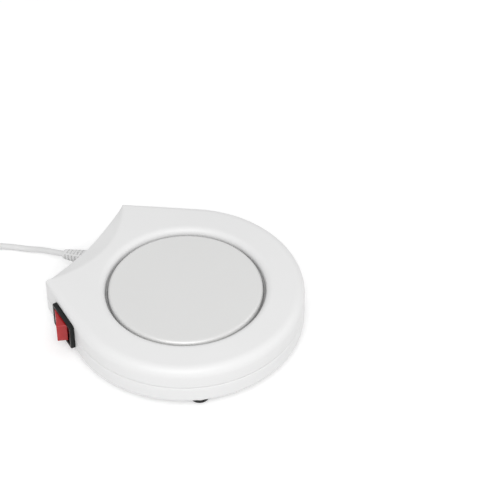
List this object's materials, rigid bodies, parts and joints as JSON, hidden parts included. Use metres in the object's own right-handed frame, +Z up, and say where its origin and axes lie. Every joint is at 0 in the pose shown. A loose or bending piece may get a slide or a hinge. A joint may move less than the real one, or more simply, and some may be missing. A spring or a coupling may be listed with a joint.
{
  "type": "electric mug warmer",
  "caption": "Low round electric mug warmer with a flat hollowed back, a recessed round heating plate on top, a rocker switch on its side and a mains cord.",
  "frame": {"origin": "on the floor under the feet, at the middle of the housing's width and depth, cord left out", "axes": "+Z up, +Y to the back where the cord leaves, -Y to the round front, the switch on the -X side wall"},
  "size_m": [0.1655, 0.2227, 0.0246],
  "materials": {
    "cover": "fine satin white moulding",
    "base": "fine satin white moulding",
    "rubber": "matt black",
    "screw": "zinc plated",
    "plate": "satin light grey coating",
    "gasket": "translucent silicone",
    "steel": "plain sheet",
    "mica": "mica sheet",
    "ribbon": "resistance alloy",
    "brass": "plain",
    "alu": "plain sheet",
    "sleeve": "woven glass sleeve",
    "switch_black": "satin black",
    "rocker_red": "translucent red",
    "nylon": "natural nylon",
    "lead": "soft white insulation",
    "lead_brown": "soft brown insulation",
    "cord": "soft white sheath",
    "tie": "flat black tie"
  },
  "bodies": {
    "housing": {"top_cover": "cover", "base_cover": "base", "foot_pads": "rubber", "housing_screws": "screw", "heating_plate": "plate", "plate_gasket": "gasket", "clamping_ring": "steel", "ring_screws": "screw", "mica_upper": "mica", "heater_card": "mica", "resistance_ribbon": "ribbon", "mica_lower": "mica", "clamp_disc": "steel", "plate_studs": "screw", "stud_nuts": "screw", "shield_spacers": "steel", "heat_shield": "alu", "thermal_fuse": "alu", "fuse_sleeve": "sleeve", "fuse_strap": "steel", "switch_housing": "switch_black", "switch_blades": "brass", "blade_receptacles": "brass", "heater_tails": "sleeve", "fuse_leads": "sleeve", "neutral_lead": "lead", "live_lead": "lead_brown", "switched_lead": "lead_brown", "crimp_splices": "steel", "strain_relief": "cord", "cord_tail": "cord", "cord_clamp": "nylon", "clamp_screws": "screw", "cord_run": "cord", "cord_coil": "cord", "cord_end": "cord", "cord_tie": "tie", "plug_body": "cord", "plug_blades": "brass"},
    "rocker": {"switch_rocker": "rocker_red", "switch_plunger": "nylon", "plunger_spring": "steel"},
    "seesaw": {"contact_lever": "brass"}
  },
  "joints": [
    {"name": "rocker_press", "type": "hinge", "parent": "housing", "child": "rocker", "pos_m": [-0.04449, 0.04029, 0.013], "axis": [0, 0, 1], "range_deg": [0, 42]},
    {"name": "seesaw_tip", "type": "hinge", "parent": "housing", "child": "seesaw", "pos_m": [-0.04016, 0.03788, 0.013], "axis": [0, 0, 1], "range_deg": [-12, 0]}
  ],
  "couplings": [
    {"joint": "seesaw_tip", "follows": "rocker_press", "ratio": -0.28571}
  ]
}
